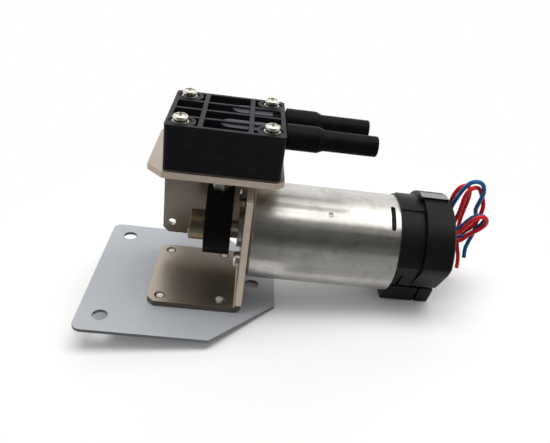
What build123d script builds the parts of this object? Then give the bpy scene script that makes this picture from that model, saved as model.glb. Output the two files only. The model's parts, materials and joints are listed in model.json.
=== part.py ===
from build123d import *
import os
from math import atan2, cos, degrees, pi, radians, sin, tan

# Diaphragm vacuum pump: a folded bracket on a base plate carries a DC motor on one side and a
# diaphragm head on top. An eccentric on the motor shaft drives the connecting rod.
# Frame: millimetres, X along the motor axis towards the rear cover, Y to the back, Z up. The
# origin lies on the base plate's underside, below the motor axis, level with the motor plate's
# pump-side face.

# ---- driving dimensions -------------------------------------------------------------------
axis_height = 31.6  # motor axis above the base plate's underside

base_thickness = 1.5
base_left = -63.8
base_length = 81.2
base_width = 80.0
base_cut_x = 26.7  # the two cut corners under the motor
base_cut_y = 25.7
base_corner_radius = 4.0
base_hole_radius = 3.15
base_pair_x = -54.3  # two fixing holes near the left edge
base_pair_spacing = 60.8
base_single_x = 7.0  # one fixing hole under the motor

sheet = 2.7  # bracket sheet
bend_radius = 1.2  # inside radius of its folds
bracket_width = 43.6
foot_length = 37.4
foot_corner = 3.0
motor_plate_top = 55.1
deck_height = 62.1  # underside of the top plate
deck_left = -38.7
flange_left = -36.8
deck_right = 13.4
deck_corner_left = 6.2
deck_corner_right = 3.0
flange_bottom = 13.3
flange_corner = 2.5
flange_hole_radius = 1.7
flange_hole_x = -32.7
flange_hole_z = 18.9

foot_screw_xs = (-32.1, -6.8)
foot_screw_spacing_y = 34.6
m4_radius = 2.0  # the motor's screws
m3_radius = 1.5  # all the other screws
thread_gap = 0.08  # radial, between a screw and its hole in this assembly
clear_gap = 0.15  # radial, where a screw passes a clearance hole
foot_hole_chamfer = 0.8
foot_screw_head_radius = 2.9
foot_screw_land = 0.1  # of plain hole above the countersink
foot_screw_sink = 0.3  # the screw ends stop this far below the foot's top face
foot_screw_proud = 0.8  # but the one at the front right stands out this far

can_radius = 21.0
can_wall = 1.2
can_length = 61.3
can_edge = 1.2
can_slot_angles = (16.6, 43.8)  # from straight up, towards the front
can_slot_width = 1.8
can_slot_from_end = 4.1
can_dimple_x = 34.6
can_dimple_angle = 35.0
can_dimple_radius = 2.0
can_dimple_depth = 0.3
motor_boss_radius = 8.75
motor_boss_length = 4.7
boss_lip = 1.0
motor_screw_circle_radius = 14.5
motor_screw_angles = (135.0, 315.0)
motor_screw_head_radius = 3.5
motor_screw_head_height = 2.6
motor_screw_head_edge = 0.7
motor_screw_reach = 1.5  # past the can's end wall

shaft_radius = 2.5
shaft_inset = 0.6  # its ends sit this far inside the hub's face and the rear bearing
bearing_radius = 6.5  # motor shaft bearings
bearing_width = 4.0
bearing_rim = 1.2  # each race's face, beside the shield groove
bearing_groove = 0.3
running_gap = 0.05  # radial running clearance of a shaft in its bearing
seat_gap = 0.02  # radial, a bearing in its seat

magnet_thickness = 4.6
magnet_start = 12.0
magnet_length = 38.0
magnet_span = 0.7  # half the arc's height, in shares of its outer radius
air_gap = 0.6
core_start = 16.0
core_length = 30.0
core_slots = 5
core_slot_width = 3.2
slot_floor = 0.45  # of the core's slots and their filling, in shares of its radius
slot_fill = 0.92
winding_radius = 12.2
winding_overhang = 6.0
winding_bore_gap = 1.0
commutator_radius = 5.5
commutator_bars = 10
commutator_gap = 0.8  # from the windings, and past the brushes
commutator_slit = 0.3
commutator_slit_depth = 0.5

housing_radius = 21.6  # brush housing, the black section next to the can
housing_length = 10.0
housing_spigot = 3.4
housing_cavity_radius = 14.0
housing_cavity_end = 5.6
saddle_width = 15.0  # raised saddle on the brush housing's top
saddle_rise = 0.7
brush_width = 4.0
brush_length = 5.0
brush_gap = 0.08
brush_before = 0.6  # the brushes start this far inside the can
holder_wall = 1.2
commutator_clearance = 1.2
spring_length = 2.6
spring_radius = 1.4
spring_wire = 0.5
terminal_offset = 6.0
terminal_height = 8.0
terminal_length = 5.0
terminal_width = 4.8
terminal_thickness = 0.8
terminal_eye_radius = 0.7
terminal_eye_from_tip = 1.8

cover_radius = 24.0  # rear cover, the black end section
cover_length = 12.0
cover_wall = 2.0
cover_edge = 0.8
cover_rib_width = 4.6
cover_rib_top = 25.0  # above the motor axis
cover_rib_overhang = 1.2
cover_rib_back = 1.6
housing_round_end = 1.5  # each round part ends here, above the axis, where the flats slope in
cover_round_end = 3.4
cover_shoulder_y = 22.4
cover_shoulder_drop = 0.3
cap_ledge_y = 14.9  # the flats end at a ledge over a recess and the foot
cap_ledge_drop = 11.8
cap_recess_y = 9.6
cap_foot_top_y = 12.6
cap_foot_top_drop = 14.3
cap_foot_half = 9.9
cap_foot_drop = 23.4
foot_slot_x = 78.9  # upright slot in each side of the cover's foot
foot_slot_width = 0.8
foot_slot_depth = 1.3
latch_groove = (67.8, 10.4, 1.3, 8.6)  # along X, down the slope, width, height
latch_slot = (80.0, 7.6, 1.9, 0.8)
latch_depth = 0.8

head_centre_x = -10.4
head_length = 44.4
head_width = 39.6
head_height = 17.7
head_corner = 1.6
gasket_thickness = 0.4
parting_height = 8.7  # top of the diaphragm housing above the top plate
head_screw_x = 16.8
head_screw_y = 14.5
m3_head_radius = 2.9
m3_head_height = 1.8
m3_head_dome = ((1.0, 0.35), (0.92, 0.68), (0.7, 0.9), (0.4, 1.0))  # shares of radius and height
flat_washer_radius = 3.1
flat_washer_thickness = 0.5
spring_washer_radius = 2.6
spring_washer_thickness = 0.8
spring_washer_slit = 0.5
washer_bore_gap = 0.1
head_screw_sink = 0.3  # the screws end this far inside the top plate
cross_width = 1.0
cross_reach = 1.9
cross_depth = 1.1

chamber_radius = 13.0
diaphragm_radius = 17.0
diaphragm_rim = 1.5
diaphragm_ledge = 2.7  # ledge above the top plate's upper face
diaphragm_pad = 1.5
diaphragm_fold = 0.8
diaphragm_sag = 0.2
pad_hole_gap = 0.3
pad_edge_inset = 0.3  # of the thick pad, inside the clamp disc's edge
rim_edge_inset = 0.2  # where the fold starts, inside the chamber's wall
chamber_roof = 7.2  # above the top plate's upper face
valve_pocket_radius = 3.1
valve_disc_radius = 2.7
valve_disc = 0.6
valve_lift = 0.2
valve_rim = 0.3
valve_stem_radius = 0.8
valve_port_radius = 0.5
valve_port_circle = 1.75
valve_ports = 4

cover_floor = 2.0
rim_wall = 1.8
pocket_corner = 0.8
cross_rib_xs = (-9.4, 9.1)  # from the head's centre
cross_rib_width = 1.9
long_rib_ys = (-9.0, 0.0, 9.0)
long_rib_width = 1.6
screw_boss_radius = 5.7
screw_seat_radius = 4.4
screw_seat_drop = 0.5  # the washers' seat below the rim
long_rib_drop = 0.15  # the long ribs end this far below the rim
port_y = 8.5
port_height = 13.9  # hose axes above the top plate's upper face
port_ridge_width = 8.6
port_ridge_below_rim = 1.0
port_ridge_starts = (-2.6, 1.1)  # front and rear, from the head's centre
port_bore_radius = 1.5
port_bar_width = 4.2  # over the bore, from the rear ridge to the head's end
port_bar_top = 2.1  # above the bore's axis
rear_ridge_end = 4.9  # the rear ridge stops this far from the head's end
spout_length = 13.0
spout_radius = 2.8
barb_radius = 3.3
barb_count = 2
barb_share = 0.8  # of the pitch that each barb's taper takes

hose_radius = 4.0
hose_bore_radius = 2.4
hose_bulge_radius = 5.0
hose_taper = 2.4
hose_edge = 0.4
hose_lengths = (35.4, 34.4)  # front and rear
hose_start_gap = 0.3

past = 1.0  # how far a cutter runs past the faces it opens
join = 0.2  # how far two shapes run into each other where they are joined

eccentricity = 0.9
hub_radius = 6.5
hub_left = -23.0
hub_step_depth = 0.7
hub_step_height = 1.2
hub_tip = 1.2  # past the retaining ring
turned_edge = 0.4  # chamfer on turned parts
rod_left = -16.1
rod_thickness = 11.2
rod_ring_radius = 11.8
rod_top = 49.6
rod_top_half = 6.4
rod_shoulder_share = 0.88  # where the stem meets the ring, in shares of the ring's radius
rod_shoulder_rise = 0.45
rod_lip_radius = 8.0
rod_bearing_radius = 9.5
rod_bearing_bore = 5.0
rod_bearing_width = 5.0
clip_thickness = 0.8
clip_radius = 6.3
clip_groove = 0.5
clip_play = 0.1  # beside the bearing
clip_gap = 0.05  # round the ring in its groove
clip_mouth = 4.4
set_screw_radius = 2.0
set_screw_sink = 0.6
set_screw_socket = 1.15
set_screw_socket_depth = 1.4
stud_hex_radius = 4.0
stud_hex_turn = -15.0
stud_hex_height = 4.2
stud_radius = 3.2
stud_thread_length = 5.5
rod_thread_depth = 6.0
retainer_radius = 8.0
retainer_thickness = 1.3
clamp_disc_radius = 8.5
clamp_disc_thickness = 1.2
soft_gap = 0.2  # between the clamped rubber and the two discs
clamp_screw_length = 9.0
clamp_screw_cone = 1.1
spacer_wall = 0.9

lead_radius = 0.9
corner_share = 0.45  # of the shorter run that an arc may take at a corner
lead_spacing = 2.2
lead_exit_z = 6.0  # above the motor axis
grommet_radius = 3.6
grommet_lip = 0.8

# ---- levels that follow from them ---------------------------------------------------------
base_right = base_left + base_length
foot_top = base_thickness + sheet
half_width = bracket_width / 2
deck_top = deck_height + sheet
can_start = sheet
can_end = can_start + can_length
housing_end = can_end + housing_length
cover_end = housing_end + cover_length
housing_bottom = deck_top + parting_height
cover_bottom = housing_bottom + gasket_thickness
head_top = deck_top + head_height
crank_z = axis_height - eccentricity
rod_right = rod_left + rod_thickness
rod_middle = (rod_left + rod_right) / 2
screw_seat = head_top - screw_seat_drop
screw_head_base = screw_seat + flat_washer_thickness + spring_washer_thickness
ledge_z = deck_top + diaphragm_ledge
pad_bottom = ledge_z - eccentricity
pad_top = pad_bottom + diaphragm_pad
hose_z = deck_top + port_height
head_right = head_centre_x + head_length / 2


# ---- helpers ------------------------------------------------------------------------------
def block(x0, x1, y0, y1, z0, z1):
    centre = Pos((x0 + x1) / 2, (y0 + y1) / 2, (z0 + z1) / 2)
    return centre * Box(x1 - x0, y1 - y0, z1 - z0)


def along_x(radius, x0, x1, y=0.0, z=axis_height):
    return Pos((x0 + x1) / 2, y, z) * Rot(0, 90, 0) * Cylinder(radius, x1 - x0)


def along_z(radius, z0, z1, x=0.0, y=0.0):
    return Pos(x, y, (z0 + z1) / 2) * Cylinder(radius, z1 - z0)


def polygon(points):
    """A flat face that always looks along its plane's normal, so that it extrudes that way."""
    face = make_face(Polyline(*points, close=True))
    if face.face().normal_at().Z < 0:
        face = make_face(Polyline(*reversed(points), close=True))
    return face


def rounded(face, corners, cut=fillet):
    """Round or chamfer the corners of a flat outline nearest to the given points."""
    for x, y, size in corners:
        corner = face.vertices().sort_by_distance((x, y, 0))[0]
        face = cut(corner, size)
    return face


def turned(points, x=0.0, y=0.0, z=0.0):
    """A solid turned about a vertical axis from (radius, height) points."""
    outline = Plane.XZ * polygon(points)
    return Pos(x, y, z) * revolve(outline, Axis.Z)


def turned_x(points, y=0.0, z=axis_height):
    """A solid turned about an axis along X from (x, radius) points."""
    outline = Plane.XZ * polygon(points)
    return Pos(0, y, z) * revolve(outline, Axis.X)


def polar(radius, angle):
    """Y and Z of a point round the motor axis, its angle counted from up towards the front."""
    return -radius * sin(radians(angle)), axis_height + radius * cos(radians(angle))


def head_screw_places():
    return [
        (head_centre_x + sx * head_screw_x, sy * head_screw_y)
        for sx in (-1, 1)
        for sy in (-1, 1)
    ]


def cross_recess(x, y, top):
    """Cutter for a cross recess in the top of a pan head."""
    blades = Box(2 * cross_reach, cross_width, 2 * cross_depth)
    blades += Box(cross_width, 2 * cross_reach, 2 * cross_depth)
    return Pos(x, y, top) * blades


# ---- base and bracket ---------------------------------------------------------------------
def base_plate():
    half = base_width / 2
    outline = polygon(
        [
            (base_left, -half),
            (base_right - base_cut_x, -half),
            (base_right, -half + base_cut_y),
            (base_right, half - base_cut_y),
            (base_right - base_cut_x, half),
            (base_left, half),
        ]
    )
    left_corners = [(base_left, s * half, base_corner_radius) for s in (-1, 1)]
    plate = extrude(rounded(outline, left_corners), base_thickness)
    holes = [(base_pair_x, s * base_pair_spacing / 2) for s in (-1, 1)]
    for x, y in holes + [(base_single_x, 0)]:
        plate -= along_z(base_hole_radius, -past, base_thickness + past, x, y)
    for screw in foot_screw_places():
        plate -= foot_screw(*screw, gap=thread_gap)
    return plate


def foot_screw_places():
    return [
        (x, s * foot_screw_spacing_y / 2) for x in foot_screw_xs for s in (-1, 1)
    ]


def foot_screw(x, y, gap=0.0):
    """A countersunk screw from below, its head flush with the base plate's underside."""
    head, shank = foot_screw_head_radius + gap, m3_radius + gap
    front_right = x == foot_screw_xs[-1] and y < 0
    end = foot_top + (foot_screw_proud if front_right else -foot_screw_sink)
    sink = base_thickness - foot_screw_land
    return turned([(0, 0), (head, 0), (shank, sink), (shank, end), (0, end)], x, y)


def foot_screws():
    return [foot_screw(x, y) for x, y in foot_screw_places()]


def bracket():
    """Foot and motor plate of the folded bracket."""
    outer = bend_radius + sheet
    foot = Plane.XZ * rounded(
        polygon(
            [
                (-foot_length, base_thickness),
                (sheet, base_thickness),
                (sheet, motor_plate_top),
                (0, motor_plate_top),
                (0, foot_top),
                (-foot_length, foot_top),
            ]
        ),
        [(sheet, base_thickness, outer), (0, foot_top, bend_radius)],
    )
    body = extrude(foot, half_width, both=True)
    body -= block(
        -past, sheet + past, seam_y(), half_width + past, flange_bottom, deck_top
    )
    for s in (-1, 1):
        body -= corner_cut(-foot_length, s * half_width, foot_corner, 0, foot_top + past)
    return body - bracket_holes()


def bracket_top():
    """Back flange and top plate, which carry on from the motor plate in the same sheet."""
    body = back_fold() + top_fold()
    body -= top_corners()
    return body - top_holes()


def seam_y():
    """Where the two halves of the folded sheet meet, just in front of the upright fold."""
    return half_width - bend_radius - sheet - join


def back_fold():
    """The back flange and its fold to the motor plate."""
    inner_y = half_width - sheet
    outer = bend_radius + sheet
    outline = rounded(
        polygon(
            [
                (flange_left, half_width),
                (sheet, half_width),
                (sheet, half_width - 2 * outer),
                (0, half_width - 2 * outer),
                (0, inner_y),
                (flange_left, inner_y),
            ]
        ),
        [(sheet, half_width, outer), (0, inner_y, bend_radius)],
    )
    fold = Pos(0, 0, flange_bottom) * extrude(outline, motor_plate_top - flange_bottom)
    return fold - block(-past, sheet + past, 0, seam_y(), 0, deck_height)


def top_fold():
    """The top plate with its fold to the back flange, which is cut clear of the motor."""
    inner_y = half_width - sheet
    outer = bend_radius + sheet
    profile = Plane.YZ * rounded(
        polygon(
            [
                (-half_width, deck_height),
                (-half_width, deck_top),
                (half_width, deck_top),
                (half_width, flange_bottom),
                (inner_y, flange_bottom),
                (inner_y, deck_height),
            ]
        ),
        [(half_width, deck_top, outer), (inner_y, deck_height, bend_radius)],
    )
    body = Pos(deck_left, 0, 0) * extrude(profile, deck_right - deck_left)
    y0, y1 = inner_y - past, half_width + past
    body -= block(deck_left - past, flange_left, y0, y1, 0, deck_height - bend_radius)
    return body - block(-bend_radius, deck_right + past, y0, y1, 0, motor_plate_top + sheet)


def top_corners():
    """Cutters for the snipped corners of the top plate and the flange."""
    cutters = corner_cut(deck_left, -half_width, deck_corner_left, deck_height - past, deck_top + past)
    cutters += corner_cut(
        deck_right, -half_width, deck_corner_right, deck_height - past, deck_top + past
    )
    edge = flange_corner * 2**0.5
    cutters += Pos(flange_left, half_width, flange_bottom) * Rot(0, 45, 0) * Box(edge, 4 * sheet, edge)
    return cutters


def corner_cut(x, y, size, z0, z1):
    """Cutter that snips a vertical corner at 45 degrees."""
    edge = size * 2**0.5
    turned_box = Rot(0, 0, 45) * Box(edge, edge, z1 - z0)
    return Pos(x, y, (z0 + z1) / 2) * turned_box


def bracket_holes():
    holes = along_x(motor_boss_radius + clear_gap, -past, sheet + past)
    for angle in motor_screw_angles:
        y, z = polar(motor_screw_circle_radius, angle)
        holes += along_x(m4_radius + clear_gap, -past, sheet + past, y, z)
    for x, y in foot_screw_places():
        holes += foot_hole(x, y)
    return holes


def foot_hole(x, y):
    """Tapped hole in the foot, chamfered at its top."""
    bore = m3_radius + thread_gap
    top = foot_top + past
    mouth = bore + foot_hole_chamfer
    low = foot_top - foot_hole_chamfer
    return turned([(0, 0), (bore, 0), (bore, low), (mouth, foot_top), (mouth, top), (0, top)], x, y)


def top_holes():
    holes = along_z(chamber_radius, deck_height - past, deck_top + past, head_centre_x)
    for x, y in head_screw_places():
        holes += along_z(m3_radius + thread_gap, deck_height - past, deck_top + past, x, y)
    flange_drill = Pos(flange_hole_x, half_width, flange_hole_z) * Rot(90, 0, 0)
    holes += flange_drill * Cylinder(flange_hole_radius, 4 * sheet)
    return holes


# ---- motor --------------------------------------------------------------------------------
def motor_can():
    inner = can_radius - can_wall
    nose = can_start - motor_boss_length
    seat = bearing_radius + seat_gap
    lip = shaft_radius + boss_lip
    floor = can_start + can_wall
    can = turned_x(
        [
            (nose, lip),
            (nose, motor_boss_radius),
            (can_start, motor_boss_radius),
            (can_start, can_radius - can_edge),
            (can_start + can_edge, can_radius),
            (can_end, can_radius),
            (can_end, inner),
            (floor, inner),
            (floor, seat),
            (nose + boss_lip, seat),
            (nose + boss_lip, lip),
        ]
    )
    for angle in motor_screw_angles:
        y, z = polar(motor_screw_circle_radius, angle)
        can -= along_x(m4_radius + thread_gap, can_start - past, floor + past, y, z)
    y, z = polar(can_radius + can_dimple_radius - can_dimple_depth, can_dimple_angle)
    can -= Pos(can_dimple_x, y, z) * Sphere(can_dimple_radius)
    return can - can_slot()


def can_slot():
    """Cutter for the round-ended slot near the can's open end."""
    x = can_end - can_slot_from_end
    start, end = can_slot_angles
    half = can_slot_width / 2
    ring = along_x(can_radius + past, x, x + can_slot_width)
    ring -= along_x(can_radius - 2 * can_wall, x - past, x + can_slot_width + past)
    fan = Plane.YZ * polygon(
        [(0, 0)]
        + [
            (-2 * can_radius * sin(radians(a)), 2 * can_radius * cos(radians(a)))
            for a in (start, (start + end) / 2, end)
        ]
    )
    cutter = ring & (Pos(x - past, 0, axis_height) * extrude(fan, can_slot_width + 2 * past))
    for angle in can_slot_angles:
        drill = Rot(angle, 0, 0) * Pos(0, 0, can_radius) * Cylinder(half, 3 * can_wall)
        cutter += Pos(x + half, 0, axis_height) * drill
    return cutter


def motor_screw(angle):
    y, z = polar(motor_screw_circle_radius, angle)
    head_end = -motor_screw_head_height
    shank_end = sheet + can_wall + motor_screw_reach
    screw = turned_x(
        [
            (head_end, 0),
            (head_end, motor_screw_head_radius - motor_screw_head_edge),
            (head_end + motor_screw_head_edge, motor_screw_head_radius),
            (0, motor_screw_head_radius),
            (0, m4_radius),
            (shank_end, m4_radius),
            (shank_end, 0),
        ],
        y,
        z,
    )
    blades = Box(2 * cross_depth, 2 * cross_reach, cross_width)
    blades += Box(2 * cross_depth, cross_width, 2 * cross_reach)
    return screw - Pos(head_end, y, z) * blades


def motor_screws():
    return [motor_screw(angle) for angle in motor_screw_angles]


def magnet(side):
    """One arc magnet on the can's inner wall, in front of or behind the rotor."""
    outer = can_radius - can_wall
    inner = outer - magnet_thickness
    x1 = magnet_start + magnet_length
    ring = along_x(outer, magnet_start, x1) - along_x(inner, magnet_start - past, x1 + past)
    gap = outer * magnet_span
    z = axis_height
    for s in (-1, 1):
        z0, z1 = sorted((z + s * gap, z + s * (outer + past)))
        ring -= block(magnet_start - past, x1 + past, -outer, outer, z0, z1)
    y0, y1 = sorted((side * inner * (1 - magnet_span), side * (outer + past)))
    return ring & block(magnet_start, x1, y0, y1, z - outer, z + outer)


def magnets():
    return [magnet(side) for side in (-1, 1)]


def shaft_bearing(x):
    ring = along_x(bearing_radius, x, x + bearing_width)
    ring -= along_x(shaft_radius + running_gap, x - past, x + bearing_width + past)
    groove = along_x(bearing_radius - bearing_rim, x - past, x + bearing_groove)
    groove -= along_x(shaft_radius + bearing_rim, x - 2 * past, x + past)
    return ring - groove


def front_bearing():
    return shaft_bearing(can_start - motor_boss_length + boss_lip)


def rear_bearing():
    return shaft_bearing(can_end + housing_cavity_end)


def cap_outline(radius, round_end, shoulder=()):
    """Outline of the black end sections: round above, below it flats, a recess and a foot."""
    side = (radius**2 - round_end**2) ** 0.5
    right = [
        (side, round_end),
        *shoulder,
        (cap_ledge_y, -cap_ledge_drop),
        (cap_recess_y, -cap_ledge_drop),
        (cap_recess_y, -cap_foot_top_drop),
        (cap_foot_top_y, -cap_foot_top_drop),
        (cap_foot_half, -cap_foot_drop),
    ]
    left = [(-y, z) for y, z in reversed(right)]
    upper = Circle(radius) & (Pos(0, round_end + radius) * Rectangle(4 * radius, 2 * radius))
    return upper + polygon(right + left)


def cap_section(outline, x0, x1):
    return Pos(x0, 0, axis_height) * extrude(Plane.YZ * outline, x1 - x0)


def slope_pocket(side, place):
    """Cutter for a shallow pocket in the sloping flat, placed along X and down the slope."""
    x, down, width, height = place
    run, drop = housing_radius - cap_ledge_y, housing_round_end + cap_ledge_drop
    angle = atan2(drop, run)
    y = housing_radius - down * cos(angle)
    z = axis_height + housing_round_end - down * sin(angle)
    pocket = Box(width, 2 * latch_depth, height)
    return Pos(x, side * y, z) * Rot(side * (degrees(angle) - 90), 0, 0) * pocket


def brush_housing():
    """Black end section of the motor: spigot, brush holders and the rear bearing's seat."""
    cavity_end = can_end + housing_cavity_end
    body = cap_section(cap_outline(housing_radius, housing_round_end), can_end, housing_end)
    for s in (-1, 1):
        body -= slope_pocket(s, latch_groove)
    saddle = along_x(housing_radius + saddle_rise, can_end, housing_end)
    body += saddle & block(
        can_end, housing_end, -saddle_width / 2, saddle_width / 2, axis_height, 3 * axis_height
    )
    body += along_x(can_radius - can_wall - seat_gap, can_end - housing_spigot, can_end)
    body -= along_x(housing_cavity_radius, can_end - housing_spigot - past, cavity_end)
    half = brush_width / 2
    for s in (-1, 1):
        z0, z1 = sorted(
            (
                axis_height + s * (commutator_radius + commutator_clearance),
                axis_height + s * housing_cavity_radius,
            )
        )
        holder = block(
            brush_start() - holder_wall, cavity_end, -half - holder_wall, half + holder_wall, z0, z1
        )
        body += holder & along_x(housing_cavity_radius + join, can_end - housing_spigot, cavity_end)
    slot_top = commutator_radius + brush_gap + brush_length + spring_length
    body -= block(
        brush_start() - brush_gap,
        brush_start() + brush_width + brush_gap,
        -half - brush_gap,
        half + brush_gap,
        axis_height - slot_top,
        axis_height + slot_top,
    )
    body -= along_x(bearing_radius + seat_gap, cavity_end - past, cavity_end + bearing_width)
    clear = commutator_radius + commutator_clearance
    body -= along_x(clear, can_end - housing_spigot - past, cavity_end)
    return body


def brush_start():
    return can_end - brush_before


def brushes():
    half = brush_width / 2
    pair = []
    for s in (-1, 1):
        near = commutator_radius + brush_gap
        z0, z1 = sorted((axis_height + s * near, axis_height + s * (near + brush_length)))
        pair.append(block(brush_start(), brush_start() + brush_width, -half, half, z0, z1))
    return pair


def brush_springs():
    x = brush_start() + brush_width / 2
    springs = []
    for s in (-1, 1):
        near = commutator_radius + brush_gap + brush_length
        z0, z1 = sorted((axis_height + s * near, axis_height + s * (near + spring_length)))
        coil = along_z(spring_radius, z0, z1, x)
        springs.append(coil - along_z(spring_radius - spring_wire, z0 - past, z1 + past, x))
    return springs


def terminals():
    z = axis_height + terminal_height
    tabs = []
    for s in (-1, 1):
        y = s * terminal_offset
        x1 = housing_end + terminal_length
        side, half = terminal_thickness / 2, terminal_width / 2
        tab = block(housing_end, x1, y - side, y + side, z - half, z + half)
        eye = Pos(x1 - terminal_eye_from_tip, y, z) * Rot(90, 0, 0)
        tab -= eye * Cylinder(terminal_eye_radius, 2 * terminal_thickness)
        tabs.append(tab)
    return tabs


def rear_cover():
    """Moulded end cover with a rib on top, a foot below and the lead exit in its end."""
    shoulder = [(cover_shoulder_y, -cover_shoulder_drop)]
    outline = cap_outline(cover_radius, cover_round_end, shoulder)
    body = cap_section(outline, housing_end, cover_end)
    rim = body.edges().group_by(Axis.X)[-1]
    body = chamfer(rim, cover_edge)
    z = axis_height
    body += block(
        housing_end - cover_rib_overhang,
        cover_end - cover_rib_back,
        -cover_rib_width / 2,
        cover_rib_width / 2,
        z + housing_radius + saddle_rise + clear_gap,
        z + cover_rib_top,
    )
    body -= cover_cavity()
    for s in (-1, 1):
        body -= slope_pocket(s, latch_slot)
        y0, y1 = sorted((s * (cap_foot_half - foot_slot_depth), s * cap_ledge_y))
        x1 = foot_slot_x + foot_slot_width
        body -= block(foot_slot_x, x1, y0, y1, z - cap_foot_drop - past, z - cap_foot_top_drop)
    return body - along_x(grommet_radius, housing_end, cover_end + past, 0, z + lead_exit_z)


def cover_cavity():
    """Cutter for the inside of the cover, one wall in from its outline."""
    inner = cover_radius - cover_wall
    floor = cover_wall - cap_ledge_drop
    right = [
        (inner, inner),
        (inner, cover_round_end),
        (cover_shoulder_y - cover_wall, -cover_shoulder_drop),
        (cap_ledge_y - cover_wall, floor),
    ]
    left = [(-y, z) for y, z in reversed(right)]
    section = Circle(inner) & polygon(right + left)
    start = housing_end - past
    return Pos(start, 0, axis_height) * extrude(Plane.YZ * section, cover_length + past - cover_wall)


def lead_places():
    z = axis_height + lead_exit_z
    return [(-lead_spacing / 2, z), (lead_spacing / 2, z)]


def lead_grommet():
    """Rubber grommet in the rear cover's end, with a lip on each side of the wall."""
    z = axis_height + lead_exit_z
    inner_face = cover_end - cover_wall
    lip = grommet_radius + grommet_lip
    ring = along_x(grommet_radius, inner_face - grommet_lip, cover_end + grommet_lip, 0, z)
    ring += along_x(lip, inner_face - grommet_lip, inner_face, 0, z)
    ring += along_x(lip, cover_end, cover_end + grommet_lip, 0, z)
    for y, lead_z in lead_places():
        ring -= along_x(
            lead_radius, inner_face - grommet_lip - past, cover_end + grommet_lip + past, y, lead_z
        )
    return ring


# ---- rotor --------------------------------------------------------------------------------
def shaft_end():
    return can_end + housing_cavity_end + bearing_width


def motor_shaft():
    shaft = along_x(shaft_radius, hub_left + shaft_inset, shaft_end() - shaft_inset)
    return chamfer(shaft.edges().group_by(Axis.X)[0], turned_edge)


def core_radius():
    return can_radius - can_wall - magnet_thickness - air_gap


def armature_core():
    radius = core_radius()
    x1 = core_start + core_length
    core = along_x(radius, core_start, x1) - along_x(shaft_radius, core_start - past, x1 + past)
    for n in range(core_slots):
        half = core_slot_width / 2
        slot = block(core_start - past, x1 + past, -half, half, radius * slot_floor, radius + past)
        core -= Pos(0, 0, axis_height) * Rot(n * 360 / core_slots, 0, 0) * slot
    return core


def windings():
    """The two end bundles, joined by the wire that fills the core's slots."""
    radius = core_radius()
    x0, x1 = core_start - winding_overhang, core_start + core_length + winding_overhang
    coil = along_x(winding_radius, x0, core_start)
    coil += along_x(winding_radius, x1 - winding_overhang, x1)
    half = core_slot_width / 2
    for n in range(core_slots):
        fill = block(
            core_start - past,
            core_start + core_length + past,
            -half,
            half,
            radius * slot_floor,
            radius * slot_fill,
        )
        coil += Pos(0, 0, axis_height) * Rot(n * 360 / core_slots, 0, 0) * fill
    coil -= along_x(radius * slot_floor, core_start, x1 - winding_overhang)
    return coil - along_x(shaft_radius + winding_bore_gap, x0 - past, x1 + past)


def commutator():
    x0 = core_start + core_length + winding_overhang + commutator_gap
    x1 = brush_start() + brush_width + commutator_gap
    body = along_x(commutator_radius, x0, x1) - along_x(shaft_radius, x0 - past, x1 + past)
    for n in range(commutator_bars):
        slit = block(
            x0 + past,
            x1 + past,
            -commutator_slit / 2,
            commutator_slit / 2,
            commutator_radius - commutator_slit_depth,
            commutator_radius + past,
        )
        body -= Pos(0, 0, axis_height) * Rot(n * 360 / commutator_bars, 0, 0) * slit
    return body


def eccentric_hub():
    """Hub whose bearing seat is off the motor axis by the eccentricity."""
    seat = rod_bearing_bore - running_gap
    bearing_left = rod_middle - rod_bearing_width / 2
    tip = bearing_left + rod_bearing_width + clip_thickness + hub_tip
    shoulder = bearing_left - clip_play
    hub = along_x(hub_radius, hub_left, shoulder, 0, crank_z)
    hub = chamfer(hub.edges().group_by(Axis.X)[0], turned_edge)
    hub += along_x(seat, shoulder - join, tip, 0, crank_z)
    step = block(
        hub_left - past,
        hub_left + hub_step_depth,
        -hub_radius - past,
        hub_radius + past,
        crank_z + hub_step_height,
        crank_z + hub_radius + past,
    )
    hub -= step
    hub -= clip_ring(seat - clip_groove, hub_radius)
    hub -= along_x(shaft_radius, hub_left - past, tip + past)
    hole = Pos(set_screw_x(), hub_radius, crank_z) * Rot(90, 0, 0)
    return hub - hole * Cylinder(set_screw_radius + thread_gap, 2 * hub_radius)


def set_screw_x():
    return (hub_left + rod_left) / 2


def clip_ring(inner, outer, gap=clip_gap):
    x = rod_middle + rod_bearing_width / 2 + clip_play
    ring = along_x(outer, x - gap, x + clip_thickness + gap, 0, crank_z)
    return ring - along_x(inner, x - past, x + clip_thickness + past, 0, crank_z)


def retaining_ring():
    """Circlip that holds the rod's bearing on the hub."""
    ring = clip_ring(rod_bearing_bore - running_gap - clip_groove + seat_gap, clip_radius, gap=0.0)
    half = clip_mouth / 2
    mouth = block(rod_left, rod_right, -half, half, crank_z - clip_radius - past, crank_z)
    return ring - mouth


def set_screw():
    """Cup-point screw that locks the hub to the motor shaft from the back."""
    start = shaft_radius
    end = hub_radius - set_screw_sink
    middle = Pos(set_screw_x(), (start + end) / 2, crank_z) * Rot(90, 0, 0)
    screw = middle * Cylinder(set_screw_radius, end - start)
    screw -= along_x(shaft_radius, hub_left - past, rod_left)
    hexagon = extrude(RegularPolygon(set_screw_socket, 6), set_screw_socket_depth)
    return screw - Pos(set_screw_x(), end, crank_z) * Rot(90, 0, 0) * hexagon


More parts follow.
